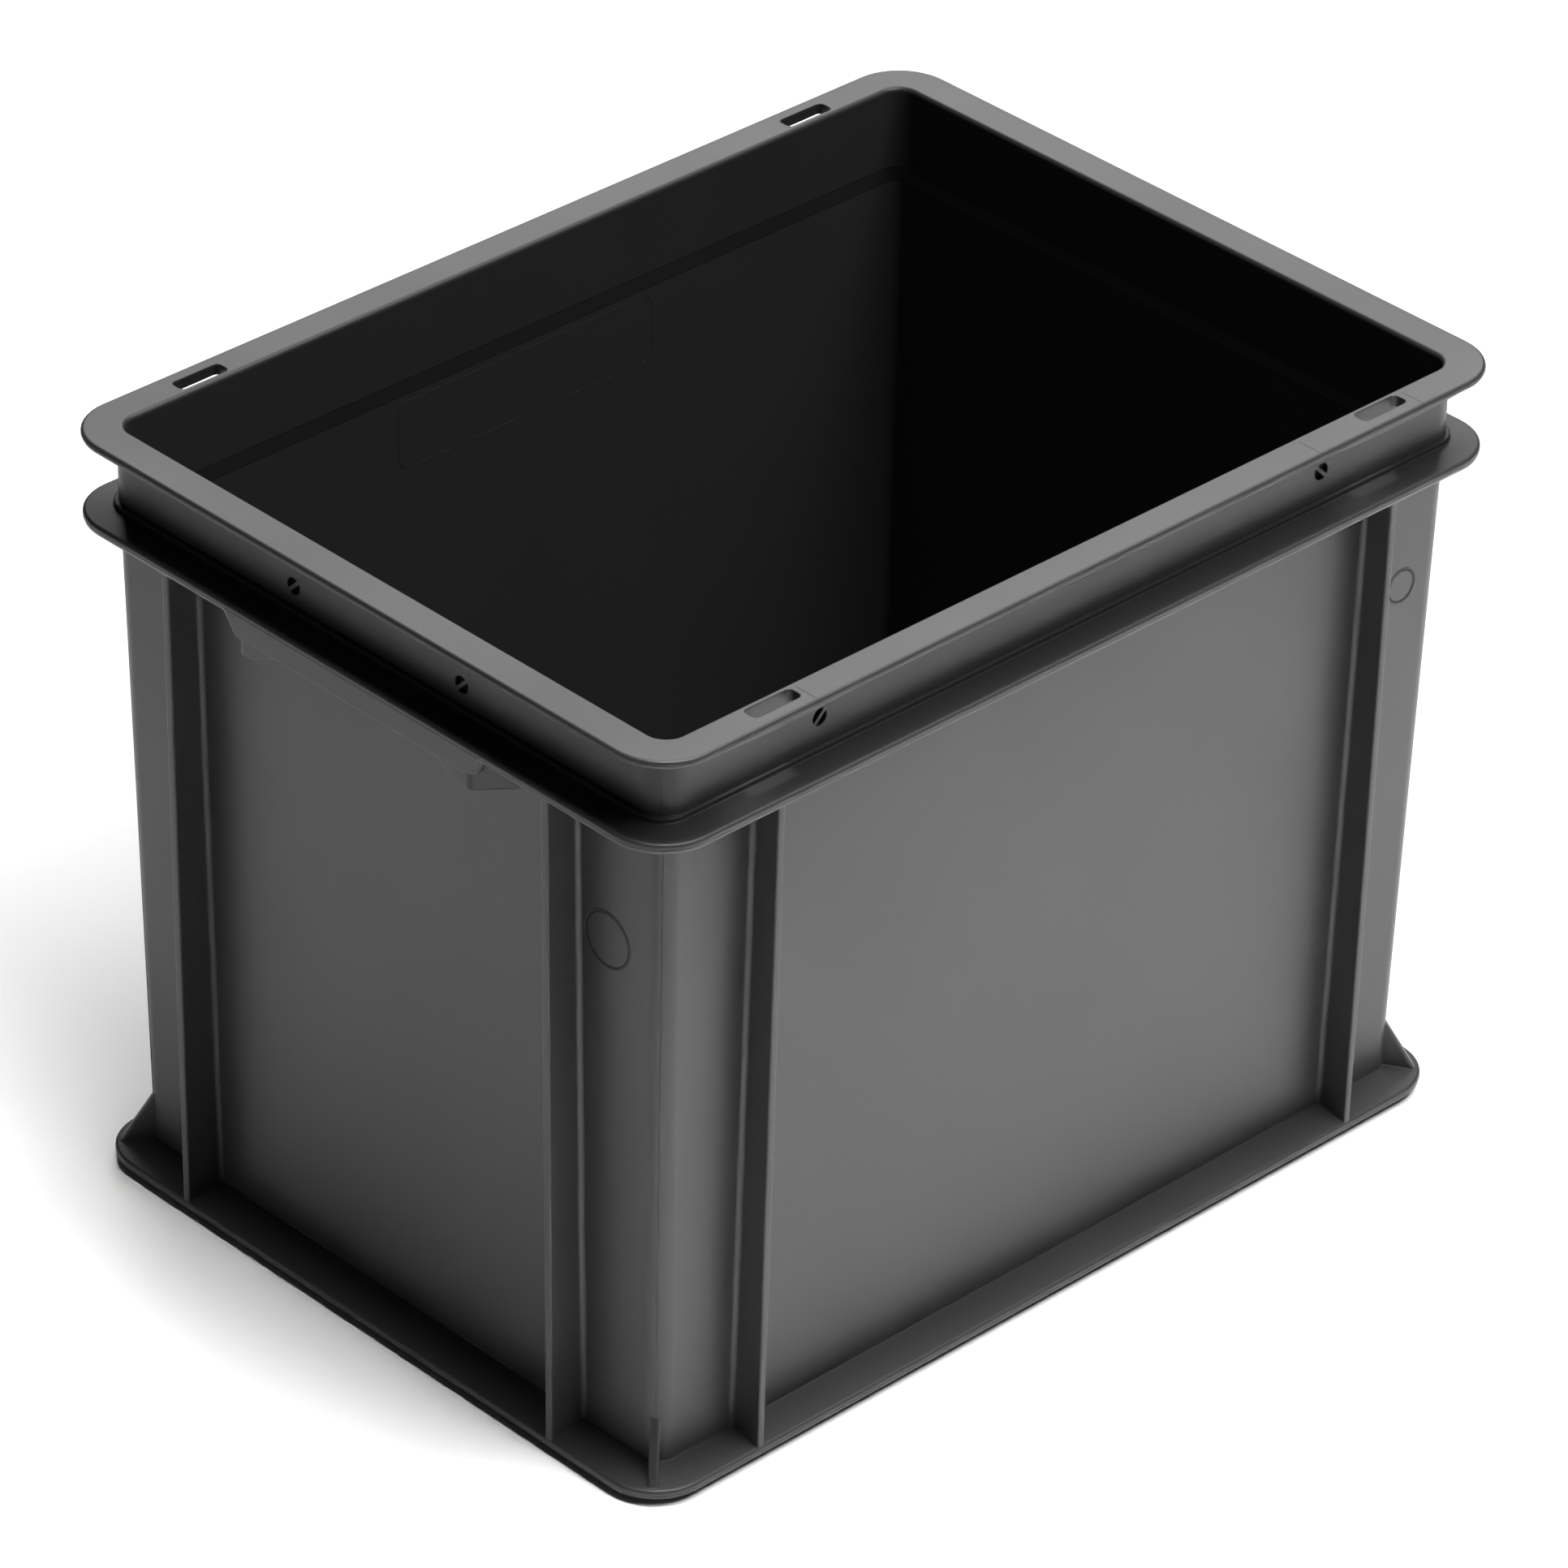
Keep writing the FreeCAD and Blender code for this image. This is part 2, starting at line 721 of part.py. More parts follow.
# Mouth: the straight inside of the neck, rounded at the rim.
mouth_outline = outline(
    open_sketch("mouth_outline", FLAT, rim_top),
    rectangle(opening_x, opening_y, opening_corner),
)
mouth = pocket("mouth", mouth_outline, rim_top - step_top)


def is_mouth_edge(edge_box):
    level = abs(edge_box.ZMin - rim_top.value) < SAME_PLACE
    inside_x = abs(edge_box.Center.x) < opening_x.value + SAME_PLACE
    inside_y = abs(edge_box.Center.y) < opening_y.value + SAME_PLACE
    return level and inside_x and inside_y


round_edges("mouth_edge", mouth, dim["mouth_round"], is_mouth_edge)

# Slots through the rim, flush with the neck on their inner side.
slot_outer = rim_y - dim["slot_edge_gap"]
slot_near = slot_end_x - dim["slot_length"]
slot_outline = outline(
    open_sketch("slot_outline", FLAT, rim_top),
    (
        (slot_end_x, slot_outer, dim["slot_corner"]),
        (slot_near, slot_outer, dim["slot_corner"]),
        (slot_near, neck_y, dim["slot_corner"]),
        (slot_end_x, neck_y, dim["slot_corner"]),
    ),
)
slot = pocket("slot", slot_outline, dim["rim_thick"] + dim["pad_thick"] * 2)
mirrored("slots", [slot])


def mark(name, plane, face, middle, height):
    """A round sunk mark in the neck with a diagonal bar left standing across it."""
    radius = dim["mark_diameter"] / 2
    disc = open_sketch(name + "_disc", plane, face)
    centre = FreeCAD.Vector(middle.value, height.value, 0)
    circle = Part.Circle(centre, FreeCAD.Vector(0, 0, 1), radius.value)
    circle = disc.addGeometry(circle, False)
    pin(disc, circle, CENTRE, True, middle)
    pin(disc, circle, CENTRE, False, height)
    number = disc.addConstraint(Sketcher.Constraint("Radius", circle, radius.value))
    disc.setExpression("Constraints[" + str(number) + "]", radius.text)
    sunk = pocket(name, disc, dim["mark_depth"])
    reach = radius * DIAGONAL
    half = dim["mark_bar"] / 2 * DIAGONAL
    corners = []
    for end, edge in ((1, 1), (-1, 1), (-1, -1), (1, -1)):
        x_place = middle + reach * end + half * edge
        y_place = height - reach * end + half * edge
        corners.append((x_place, y_place))
    bar_sketch = open_sketch(name + "_bar_outline", plane, face - dim["mark_depth"])
    bar = pad(name + "_bar", outline(bar_sketch, corners), dim["mark_depth"])
    return [sunk, bar]


side_mark_x = rim_x - dim["side_mark_end_gap"]
end_mark_y = rim_y - dim["end_mark_end_gap"]
side_mark = mark("side_mark", FRONT, neck_y, side_mark_x, rim_top - dim["side_mark_drop"])
mirrored("side_marks", side_mark)
end_mark_z = rim_top - dim["end_mark_drop"]
end_pair = mark("end_mark", SIDE, neck_x, end_mark_y, end_mark_z)
end_pair += mark("other_end_mark", SIDE, neck_x, -end_mark_y, end_mark_z)
mirrored("end_marks", end_pair, False)

doc.recompute()
for item in doc.Objects:
    if "Invalid" in item.State or "Error" in item.State:
        raise RuntimeError(item.Name + " did not build")
shape = body.Shape
if shape.isNull() or not shape.isValid() or len(shape.Solids) != 1:
    raise RuntimeError(NODE + " is not one valid solid")
print(NODE, round(shape.Volume), "mm3,", len(shape.Faces), "faces")
os.makedirs("parts", exist_ok=True)
shape.exportStep("parts/" + NODE + ".step")
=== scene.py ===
"""Finishes a packed stacking container: satin plastic, moulding marks and a pale studio."""

import math

import bmesh
import bpy
from mathutils import Matrix, Vector
from mathutils.bvhtree import BVHTree


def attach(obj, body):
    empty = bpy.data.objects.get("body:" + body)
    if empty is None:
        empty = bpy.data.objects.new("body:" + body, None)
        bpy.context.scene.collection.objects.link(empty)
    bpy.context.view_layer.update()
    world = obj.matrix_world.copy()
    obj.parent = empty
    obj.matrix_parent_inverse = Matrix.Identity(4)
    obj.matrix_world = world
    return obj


bl_info = {
    "name": "Stacking container finish",
    "version": (1, 0, 0),
    "blender": (4, 5, 0),
    "location": "View3D > Sidebar > Container",
    "description": "Moulded plastic finish, moulding marks and studio for a stacking container",
    "category": "Object",
}

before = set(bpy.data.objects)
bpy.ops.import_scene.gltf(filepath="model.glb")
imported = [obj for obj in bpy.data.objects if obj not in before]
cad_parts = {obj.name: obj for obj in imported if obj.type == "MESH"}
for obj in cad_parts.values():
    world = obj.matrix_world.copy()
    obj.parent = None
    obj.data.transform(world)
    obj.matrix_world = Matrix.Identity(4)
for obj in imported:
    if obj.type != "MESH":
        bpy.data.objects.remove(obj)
SHELL = "container"
MM = 0.001

# Places and sizes are in mm in the container's own frame, unless a comment says otherwise.
# Half the length of the container, which the grips reach, and a distance well outside it.
HALF_LENGTH = 200.0
OUTSIDE = 250.0

# Vertical seams at the corners: lowest and highest point, and |x| - |y| where they lie.
NECK_SEAM = ((273.5, 296.5), 50.0)
WALL_SEAM = ((27.0, 263.5), 49.0)

# Parting lines round the three flanges. They show only outside this distance from the centres
# of the corner arcs.
PARTING_HEIGHTS = (298.32, 266.4, 4.36)
PARTING_HALF = 0.16
CORNER_CENTRE = (179.0, 129.0)
FLANGE_REACH = 15.5

# Thin lines across the top of the front rim, by x.
RIM_LINES = (-130.2, 105.6, 156.4)
RIM_LINE_HALF = 0.12
RIM_LINE_ABOVE = 299.0
RIM_LINE_BEFORE = -139.0

# Blank round insert marks on the posts, as place along the wall, height and radius.
END_ROUNDEL = (-110.0, 212.0, 11.0)
SIDE_ROUNDEL = (165.5, 218.0, 7.0)
ROUNDEL_INSET = 0.9
ROUNDEL_GROOVE_HALF = 0.35
END_POSTS = -170.0
SIDE_POSTS = -130.0

# Sloping step round the inside below the rim, where painted shade darkens the colour against the
# light that its upward face catches.
STEP_MIDDLE = 265.0
STEP_HALF = 2.9
STEP_OUTLINE = (186.2, 137.2)
# Share of the painted shade that falls on the step.
STEP_PAINTED_SHADE = 0.6

# Round recessed marks in the neck, as place along the wall, height and distance of their floor.
# Their floors get painted shade for the dark of the hollow.
SIDE_MARK = (118.3, 283.2, 137.0)
END_MARK = (41.8, 279.4, 186.0)
MARK_RADIUS = 3.2
MARK_FLOOR_HALF = 0.9

# Ejector dots on the second flange at both ends, and the height that they are dropped from.
DOT_X = 194.0
DOT_Y = (42.0, -48.8)
DOT_ABOVE = 285.0
DOT_RADIUS = 1.2
DOT_FLATNESS = 0.35

# Textures of the plastic, as noise scales, and how much each one lightens or darkens it.
CLOUD_SCALE = 14.0
CLOUD_SHADE = 0.16
CLOUD_ROUGHNESS = 0.1
GRAIN_SCALE = 1500.0
DUST_SCALE = 260.0
DUST_SIZE_SCALE = 90.0
DUST_SPREAD = 0.34
DUST_THRESHOLD = -0.14
DUST_SHADE = 0.12
LINE_SHADE = -0.75
LINE_ROUGHNESS = 0.4
LINE_DEPTH = -3.0
# Painted shade on the inner step and the mark floors: how much their colour is darkened and
# their sheen taken away.
PAINTED_SHADE_DARKNESS = -0.85
PAINTED_SHADE_SHEEN_LOSS = -0.9
EDGE_SAMPLES = 6

# Studio floor, square, in metres.
FLOOR_SIZE = 12.0
FLOOR_ROUGHNESS = 0.9

# Width of the camera's sensor in mm, and its clipping distances in metres.
SENSOR_WIDTH = 36.0
CLIP = (0.1, 50.0)

# Soft lights in metres and degrees: place, target, size and spread. The narrow ones light only
# the floor beside the container, which lights the walls from below.
LIGHTS = {
    "top": ((0.8, -0.4, 2.6), (0.8, -0.4, 0.0), (1.6, 1.6), 180.0),
    "back": ((2.0, 2.0, 1.9), (0.0, 0.0, 0.25), (1.8, 1.4), 180.0),
    "front": ((0.1, -0.38, 0.9), (0.1, -0.38, 0.0), (1.3, 0.46), 12.0),
    "fill": ((0.3, -1.35, 2.3), (0.0, -0.15, 0.28), (1.2, 0.7), 180.0),
    "left": ((-0.43, -0.05, 0.9), (-0.43, -0.05, 0.0), (0.46, 1.3), 12.0),
}


class FinishSettings(bpy.types.PropertyGroup):
    plastic_color: bpy.props.FloatVectorProperty(
        name="Plastic colour",
        description="Linear colour of the moulded plastic",
        subtype="COLOR",
        size=3,
        min=0.0,
        max=1.0,
        default=(0.019, 0.019, 0.0194),
    )
    roughness: bpy.props.FloatProperty(
        name="Roughness",
        description="How matt the plastic is",
        min=0.0,
        max=1.0,
        default=0.42,
    )
    sheen: bpy.props.FloatProperty(
        name="Sheen",
        description="Strength of the mirrored light",
        min=0.0,
        max=1.0,
        default=0.26,
    )
    grain_depth: bpy.props.FloatProperty(
        name="Grain depth",
        description="Height of the fine eroded grain",
        min=0.0,
        max=0.001,
        default=0.00002,
        unit="LENGTH",
    )
    edge_radius: bpy.props.FloatProperty(
        name="Edge radius",
        description="Rounding of the moulded edges that catches the light",
        min=0.0,
        max=0.002,
        default=0.0008,
        unit="LENGTH",
    )
    bead_radius: bpy.props.FloatProperty(
        name="Bead radius",
        description="Half the width of the moulded seams and outlines",
        min=0.00001,
        max=0.001,
        default=0.00018,
        unit="LENGTH",
    )
    edge_bead_radius: bpy.props.FloatProperty(
        name="Edge bead radius",
        description="Half the width of the rounded grip edges",
        min=0.00001,
        max=0.001,
        default=0.00028,
        unit="LENGTH",
    )


class StudioSettings(bpy.types.PropertyGroup):
    azimuth: bpy.props.FloatProperty(
        name="Camera azimuth",
        description="Angle of the camera round the container; zero looks along +Y",
        default=math.radians(-44.348),
        subtype="ANGLE",
    )
    elevation: bpy.props.FloatProperty(
        name="Camera elevation",
        description="Angle of the camera above the floor",
        default=math.radians(32.354),
        subtype="ANGLE",
    )
    roll: bpy.props.FloatProperty(
        name="Camera roll",
        description="Turn of the camera about its own axis",
        default=math.radians(1.334),
        subtype="ANGLE",
    )
    distance: bpy.props.FloatProperty(
        name="Camera distance",
        description="From the aimed point to the camera",
        default=3.0379,
        unit="LENGTH",
    )
    aim: bpy.props.FloatVectorProperty(
        name="Aimed point",
        description="Point that the camera looks at",
        default=(-0.01132, -0.01319, 0.153),
        subtype="TRANSLATION",
        unit="LENGTH",
    )
    lens: bpy.props.FloatProperty(
        name="Lens",
        description="Focal length in mm",
        default=200.35,
    )
    floor_color: bpy.props.FloatVectorProperty(
        name="Floor colour",
        description="Linear colour of the studio floor",
        subtype="COLOR",
        size=3,
        min=0.0,
        max=1.0,
        default=(0.9, 0.9, 0.9),
    )
    top_power: bpy.props.FloatProperty(
        name="Top light",
        description="Power in watts of the soft light overhead",
        default=85.0,
    )
    back_power: bpy.props.FloatProperty(
        name="Back light",
        description="Power in watts of the soft light behind, which the rim mirrors",
        default=53.0,
    )
    front_power: bpy.props.FloatProperty(
        name="Front light",
        description="Power in watts of the light on the floor in front",
        default=5.2,
    )
    left_power: bpy.props.FloatProperty(
        name="Left light",
        description="Power in watts of the light on the floor to the left",
        default=1.7,
    )
    fill_power: bpy.props.FloatProperty(
        name="Fill light",
        description="Power in watts of the weak light that reaches in under the front rim",
        default=42.0,
    )
    air: bpy.props.FloatProperty(
        name="Air",
        description="Strength of the even light from all round",
        default=0.03,
    )


class ShaderGraph:
    """Adds nodes to a material and joins them."""

    def __init__(self, name):
        self.material = bpy.data.materials.new(name)
        self.material.use_nodes = True
        self.tree = self.material.node_tree
        self.shader = self.tree.nodes["Principled BSDF"]

    def add(self, kind, values=(), **settings):
        node = self.tree.nodes.new(kind)
        for key, value in settings.items():
            setattr(node, key, value)
        for socket, value in values:
            self.feed(node.inputs[socket], value)
        return node

    def feed(self, socket, value):
        if isinstance(value, bpy.types.NodeSocket):
            self.tree.links.new(value, socket)
        else:
            socket.default_value = value

    def math(self, operation, *values):
        node = self.add("ShaderNodeMath", tuple(enumerate(values)), operation=operation)
        return node.outputs[0]

    def vector_math(self, operation, *values):
        node = self.add("ShaderNodeVectorMath", tuple(enumerate(values)), operation=operation)
        return node.outputs["Value" if operation == "LENGTH" else "Vector"]

    def near(self, value, target, half_width):
        """One where a value lies within half a width of a target, else zero."""
        return self.math("COMPARE", value, target, half_width)

    def either(self, masks):
        total = masks[0]
        for mask in masks[1:]:
            total = self.math("MAXIMUM", total, mask)
        return total


def parting_mask(graph, outside, heights):
    """Thin lines round the outer edges of the flanges, at the heights where the mould opens."""
    centre_x, centre_y = CORNER_CENTRE
    beyond = graph.vector_math("SUBTRACT", outside, (centre_x * MM, centre_y * MM, 1.0))
    beyond = graph.vector_math("MAXIMUM", beyond, (0.0, 0.0, 0.0))
    reach = graph.vector_math("LENGTH", beyond)
    edge = graph.math("GREATER_THAN", reach, FLANGE_REACH * MM)
    lines = [graph.near(heights, height * MM, PARTING_HALF * MM) for height in PARTING_HEIGHTS]
    return graph.math("MULTIPLY", edge, graph.either(lines))


def rim_line_mask(graph, x, y, z):
    """Thin lines across the top of the front rim."""
    on_top = graph.math("GREATER_THAN", z, RIM_LINE_ABOVE * MM)
    in_front = graph.math("LESS_THAN", y, RIM_LINE_BEFORE * MM)
    lines = [graph.near(x, place * MM, RIM_LINE_HALF * MM) for place in RIM_LINES]
    mask = graph.math("MULTIPLY", on_top, in_front)
    return graph.math("MULTIPLY", mask, graph.either(lines))


def distance_squared(graph, along, z, place, height):
    """Square, in metres, of the distance from a place in mm on an upright wall."""
    side = graph.math("SUBTRACT", along, place * MM)
    rise = graph.math("SUBTRACT", z, height * MM)
    side = graph.math("MULTIPLY", side, side)
    return graph.math("MULTIPLY_ADD", rise, rise, side)


def roundel_mask(graph, x, y, z):
    """Grooves just inside the outlines of the round insert marks on the posts."""
    masks = []
    for along, across, limit, (place, height, radius) in (
        (y, x, END_POSTS, END_ROUNDEL),
        (x, y, SIDE_POSTS, SIDE_ROUNDEL),
    ):
        reach = graph.math("SQRT", distance_squared(graph, along, z, place, height))
        ring = graph.near(reach, (radius - ROUNDEL_INSET) * MM, ROUNDEL_GROOVE_HALF * MM)
        on_post = graph.math("LESS_THAN", across, limit * MM)
        masks.append(graph.math("MULTIPLY", ring, on_post))
    return graph.either(masks)


def painted_step_shade_mask(graph, outside, z):
    """Painted shade on the sloping step round the inside, just below the rim."""
    half_x, half_y = STEP_OUTLINE
    within = graph.vector_math("SUBTRACT", (half_x * MM, half_y * MM, 1.0), outside)
    sides = graph.add("ShaderNodeSeparateXYZ", ((0, within),)).outputs
    inside = graph.math(
        "MULTIPLY",
        graph.math("GREATER_THAN", sides[0], 0.0),
        graph.math("GREATER_THAN", sides[1], 0.0),
    )
    return graph.math("MULTIPLY", inside, graph.near(z, STEP_MIDDLE * MM, STEP_HALF * MM))


def painted_mark_shade_mask(graph, outside, z):
    """Painted shade on the floors of the round recessed marks in the neck."""
    places = graph.add("ShaderNodeSeparateXYZ", ((0, outside),)).outputs
    masks = []
    for along, across, (place, height, floor) in (
        (places[0], places[1], SIDE_MARK),
        (places[1], places[0], END_MARK),
    ):
        reach = distance_squared(graph, along, z, place, height)
        inside = graph.math("LESS_THAN", reach, (MARK_RADIUS * MM) ** 2)
        painted_shade = graph.near(across, floor * MM, MARK_FLOOR_HALF * MM)
        masks.append(graph.math("MULTIPLY", inside, painted_shade))
    return graph.either(masks)


def noise(graph, place, scale, detail):
    values = (("Vector", place), ("Scale", scale), ("Detail", detail))
    return graph.add("ShaderNodeTexNoise", values).outputs["Fac"]


def plastic_material(settings):
    """Dark grey moulded plastic: fine grain, faint clouds, dust, thin lines, and painted shade
    on the inner step and in the recessed marks.
    """
    graph = ShaderGraph("moulded_plastic")
    place = graph.add("ShaderNodeTexCoord").outputs["Object"]
    split = graph.add("ShaderNodeSeparateXYZ", ((0, place),))
    x, y, z = split.outputs
    outside = graph.vector_math("ABSOLUTE", place)
    lines = graph.either(
        [
            parting_mask(graph, outside, z),
            rim_line_mask(graph, x, y, z),
            roundel_mask(graph, x, y, z),
        ]
    )
    # Painted shade on the inner step and the mark floors, which darkens their colour and their
    # sheen.
    painted_shade = graph.math("MULTIPLY", painted_step_shade_mask(graph, outside, z), STEP_PAINTED_SHADE)
    painted_shade = graph.math("MAXIMUM", painted_shade, painted_mark_shade_mask(graph, outside, z))

    clouds = noise(graph, place, CLOUD_SCALE, 3.0)
    grain = noise(graph, place, GRAIN_SCALE, 3.0)
    dust_size = noise(graph, place, DUST_SIZE_SCALE, 1.0)
    dust = graph.add(
        "ShaderNodeTexVoronoi", (("Vector", place), ("Scale", DUST_SCALE), ("Randomness", 1.0))
    )
    reach = graph.math("MULTIPLY_ADD", dust_size, DUST_SPREAD, DUST_THRESHOLD)
    speck = graph.math("LESS_THAN", dust.outputs["Distance"], reach)

    shade = graph.math("MULTIPLY_ADD", clouds, CLOUD_SHADE, 1.0 - CLOUD_SHADE / 2)
    shade = graph.math("MULTIPLY_ADD", speck, DUST_SHADE, shade)
    shade = graph.math("MULTIPLY_ADD", lines, LINE_SHADE, shade)
    shade = graph.math("MULTIPLY_ADD", painted_shade, PAINTED_SHADE_DARKNESS, shade)
    color = graph.vector_math("SCALE", (*settings.plastic_color,))
    graph.feed(color.node.inputs["Scale"], shade)
    graph.feed(graph.shader.inputs["Base Color"], color)
    sheen = graph.math("MULTIPLY_ADD", painted_shade, PAINTED_SHADE_SHEEN_LOSS * settings.sheen, settings.sheen)
    graph.feed(graph.shader.inputs["Specular IOR Level"], sheen)
    least = settings.roughness - CLOUD_ROUGHNESS / 2
    rough = graph.math("MULTIPLY_ADD", clouds, CLOUD_ROUGHNESS, least)
    rough = graph.math("MULTIPLY_ADD", lines, LINE_ROUGHNESS, rough)
    graph.feed(graph.shader.inputs["Roughness"], rough)
    height = graph.math("MULTIPLY_ADD", lines, LINE_DEPTH, grain)
    edges = graph.add(
        "ShaderNodeBevel", (("Radius", settings.edge_radius),), samples=EDGE_SAMPLES
    )
    bump = graph.add(
        "ShaderNodeBump",
        (
            ("Height", height),
            ("Distance", settings.grain_depth),
            ("Normal", edges.outputs["Normal"]),
        ),
    )
    graph.feed(graph.shader.inputs["Normal"], bump.outputs["Normal"])
    return graph.material


def shell_surface():
    """The shell's faces, for finding where a line meets them."""
    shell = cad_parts[SHELL]
    points = [shell.matrix_world @ vertex.co for vertex in shell.data.vertices]
    faces = [tuple(face.vertices) for face in shell.data.polygons]
    return BVHTree.FromPolygons(points, faces)


def meet(surface, start, way):
    """Where a line from a point in mm meets the shell, in metres."""
    hit = surface.ray_cast(Vector(start) * MM, Vector(way).normalized())[0]
    if hit is None:
        raise RuntimeError("a moulding mark misses the shell")
    return hit


def path_mesh(name, paths, closed):
    """A mesh of edges only, one chain for each path."""
    points, edges = [], []
    for path in paths:
        first = len(points)
        points.extend(path)
        count = len(path)
        steps = count if closed else count - 1
        edges.extend((first + i, first + (i + 1) % count) for i in range(steps))
    mesh = bpy.data.meshes.new(name)
    mesh.from_pydata(points, edges, [])
    return mesh


class GeometryGraph:
    """A geometry node tree with named inputs that ends in real geometry with a material."""

    def __init__(self, name, inputs):
        self.tree = bpy.data.node_groups.new(name, "GeometryNodeTree")
        interface = self.tree.interface
        interface.new_socket("Geometry", in_out="INPUT", socket_type="NodeSocketGeometry")
        self.sockets = {}
        for label, kind in (*inputs, ("Material", "NodeSocketMaterial")):
            item = interface.new_socket(label, in_out="INPUT", socket_type=kind)
            self.sockets[label] = item.identifier
        interface.new_socket("Geometry", in_out="OUTPUT", socket_type="NodeSocketGeometry")
        self.source = self.tree.nodes.new("NodeGroupInput").outputs

    def add(self, kind, links=(), **settings):
        node = self.tree.nodes.new(kind)
        for key, value in settings.items():
            setattr(node, key, value)
        for socket, value in links:
            if isinstance(value, bpy.types.NodeSocket):
                self.tree.links.new(value, node.inputs[socket])
            else:
                node.inputs[socket].default_value = value
        return node.outputs[0]

    def close(self, geometry):
        real = self.add("GeometryNodeRealizeInstances", (("Geometry", geometry),))
        painted = self.add(
            "GeometryNodeSetMaterial",
            (("Geometry", real), ("Material", self.source["Material"])),
        )
        target = self.tree.nodes.new("NodeGroupOutput")
        self.tree.links.new(painted, target.inputs["Geometry"])
        return self


def bead_graph():
    """A round bead along every path."""
    graph = GeometryGraph(
        "moulded_bead", (("Bead radius", "NodeSocketFloat"), ("Spacing", "NodeSocketFloat"))
    )
    curve = graph.add("GeometryNodeMeshToCurve", (("Mesh", graph.source["Geometry"]),))
    curve = graph.add(
        "GeometryNodeResampleCurve",
        (("Curve", curve), ("Length", graph.source["Spacing"])),
        mode="LENGTH",
    )
    profile = graph.add(
        "GeometryNodeCurvePrimitiveCircle",
        (("Resolution", 8), ("Radius", graph.source["Bead radius"])),
    )
    bead = graph.add(
        "GeometryNodeCurveToMesh",
        (("Curve", curve), ("Profile Curve", profile), ("Fill Caps", True)),
    )
    return graph.close(bead)


def dot_graph():
    """A low round dot on every point."""
    graph = GeometryGraph(
        "moulded_dots", (("Dot radius", "NodeSocketFloat"), ("Flatness", "NodeSocketVector"))
    )
    dot = graph.add(
        "GeometryNodeMeshIcoSphere",
        (("Radius", graph.source["Dot radius"]), ("Subdivisions", 3)),
    )
    dots = graph.add(
        "GeometryNodeInstanceOnPoints",
        (
            ("Points", graph.source["Geometry"]),
            ("Instance", dot),
            ("Scale", graph.source["Flatness"]),
        ),
    )
    return graph.close(dots)


def grow(name, mesh, graph, values, material):
    """A plain mesh piece of the container, grown from a base mesh by a geometry node tree."""
    piece = bpy.data.objects.new(name, mesh)
    bpy.context.collection.objects.link(piece)
    modifier = piece.modifiers.new(graph.tree.name, "NODES")
    modifier.node_group = graph.tree
    for label, value in (*values, ("Material", material)):
        modifier[graph.sockets[label]] = value
    depsgraph = bpy.context.evaluated_depsgraph_get()
    grown = bpy.data.meshes.new_from_object(piece.evaluated_get(depsgraph), depsgraph=depsgraph)
    piece.modifiers.clear()
    piece.data = grown
    if not grown.polygons:
        raise RuntimeError(name + " has no faces")
    shape = bmesh.new()
    shape.from_mesh(grown)
    bmesh.ops.remove_doubles(shape, verts=shape.verts, dist=1e-7)
    bmesh.ops.recalc_face_normals(shape, faces=shape.faces)
    shape.to_mesh(grown)
    shape.free()
    grown.shade_smooth()
    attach(piece, "root")
    return piece


def shell_material():
    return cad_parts[SHELL].data.materials[0]


class CONTAINER_OT_shell(bpy.types.Operator):
    """Give the moulded shell its plastic finish"""

    bl_idname = "container.shell"
    bl_label = "Finish shell"

    def execute(self, context):
        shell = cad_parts[SHELL]
        shell.data.materials.clear()
        shell.data.materials.append(plastic_material(context.scene.container_finish))
        return {"FINISHED"}


class CONTAINER_OT_seams(bpy.types.Operator):
    """Run the fine seams of the mould up the four corners"""

    bl_idname = "container.seams"
    bl_label = "Add corner seams"

    START = 200.0
    SPACING = 10.0

    def execute(self, context):
        surface = shell_surface()
        paths = [
            self.seam(surface, side_x, side_y, *seam)
            for side_x in (1, -1)
            for side_y in (1, -1)
            for seam in (NECK_SEAM, WALL_SEAM)
        ]
        mesh = path_mesh("corner_seams", paths, False)
        radius = context.scene.container_finish.bead_radius
        values = (("Bead radius", radius), ("Spacing", self.SPACING * MM))
        grow("corner_seams", mesh, bead_graph(), values, shell_material())
        return {"FINISHED"}

    def seam(self, surface, side_x, side_y, heights, offset):
        """Points of one seam, found from outside along the diagonal of the corner."""
        low, high = heights
        start_x, start_y = side_x * (self.START + offset), side_y * self.START
        return [
            meet(surface, (start_x, start_y, z), (-side_x, -side_y, 0.0))
            for z in (low, (low + high) / 2, high)
        ]


